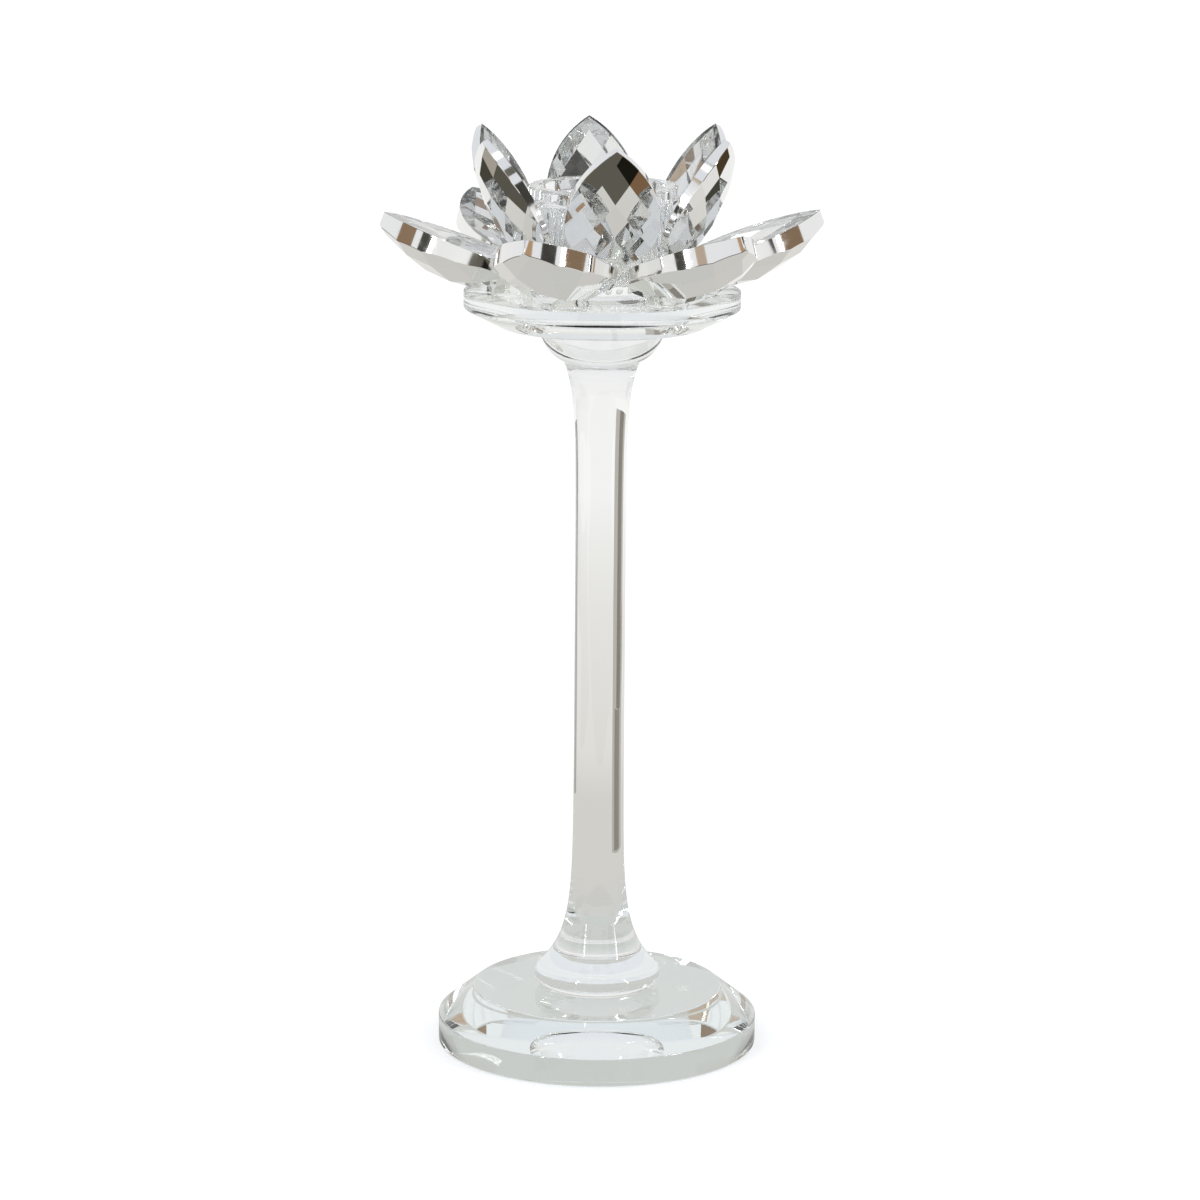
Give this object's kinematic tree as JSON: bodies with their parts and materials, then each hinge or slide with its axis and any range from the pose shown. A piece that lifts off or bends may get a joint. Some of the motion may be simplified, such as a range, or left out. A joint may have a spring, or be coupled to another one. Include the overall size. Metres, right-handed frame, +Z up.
{
  "type": "glass candlestick",
  "caption": "Tall clear glass candlestick: a bevelled round foot, a slim flared stem, and a dish carrying faceted petals around a fluted tealight cup.",
  "frame": {"origin": "centre of the foot disc's underside, on the stem's axis", "axes": "+Z up along the stem; -Y is the front, where one standing petal faces"},
  "size_m": [0.143, 0.13, 0.302],
  "materials": {
    "foot_glass": "polished clear glass with a faint blue-green tint in the thick foot",
    "clear_glass": "polished clear glass",
    "silvered_glass": "clear cut glass, silvered on its outer facets and its edges; only the flat inner face is bare",
    "clear_adhesive": "clear cured adhesive, glossy"
  },
  "bodies": {
    "root": {"base_disc": "foot_glass", "stem": "clear_glass", "petal_dish": "clear_glass", "candle_cup": "clear_glass", "lower_petal_1": "silvered_glass", "lower_petal_2": "silvered_glass", "lower_petal_3": "silvered_glass", "lower_petal_4": "silvered_glass", "lower_petal_5": "silvered_glass", "lower_petal_6": "silvered_glass", "upper_petal_1": "silvered_glass", "upper_petal_2": "silvered_glass", "upper_petal_3": "silvered_glass", "upper_petal_4": "silvered_glass", "upper_petal_5": "silvered_glass", "upper_petal_6": "silvered_glass", "foot_bond": "clear_adhesive", "head_bond": "clear_adhesive", "cup_bond": "clear_adhesive", "lower_petal_bonds": "clear_adhesive", "upper_petal_bonds": "clear_adhesive"}
  },
  "joints": []
}
